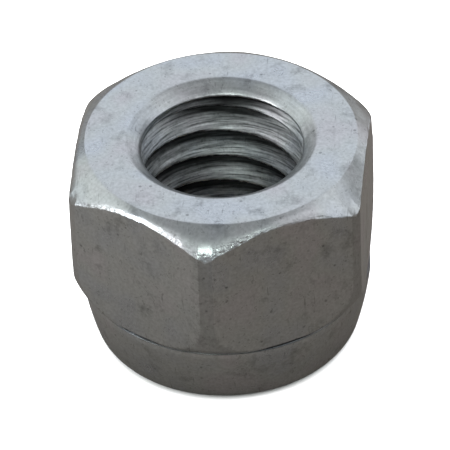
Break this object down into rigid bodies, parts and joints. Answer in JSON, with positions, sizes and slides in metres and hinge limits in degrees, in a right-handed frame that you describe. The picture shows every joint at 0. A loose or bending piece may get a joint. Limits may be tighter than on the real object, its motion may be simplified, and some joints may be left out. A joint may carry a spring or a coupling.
{
  "type": "hex lock nut",
  "caption": "Hexagonal lock nut with a chamfered bearing face and a rolled round crown that holds a nylon ring, which grips the bolt's thread so that the nut can't shake loose.",
  "frame": {"origin": "centre of the crown's lower face, on the thread's axis, which is the point that the nut stands on", "axes": "+Z along the thread's axis, up out of the bearing face; flats face +X and -X, corners point to +Y and -Y"},
  "size_m": [0.0146, 0.016, 0.0115],
  "materials": {
    "zinc_plate": "zinc-plated cold-formed steel, satin, with small pits and handling marks",
    "nylon": "plain moulded nylon, off-white"
  },
  "bodies": {
    "root": {"nut_body": "zinc_plate", "nylon_ring": "nylon"}
  },
  "joints": []
}
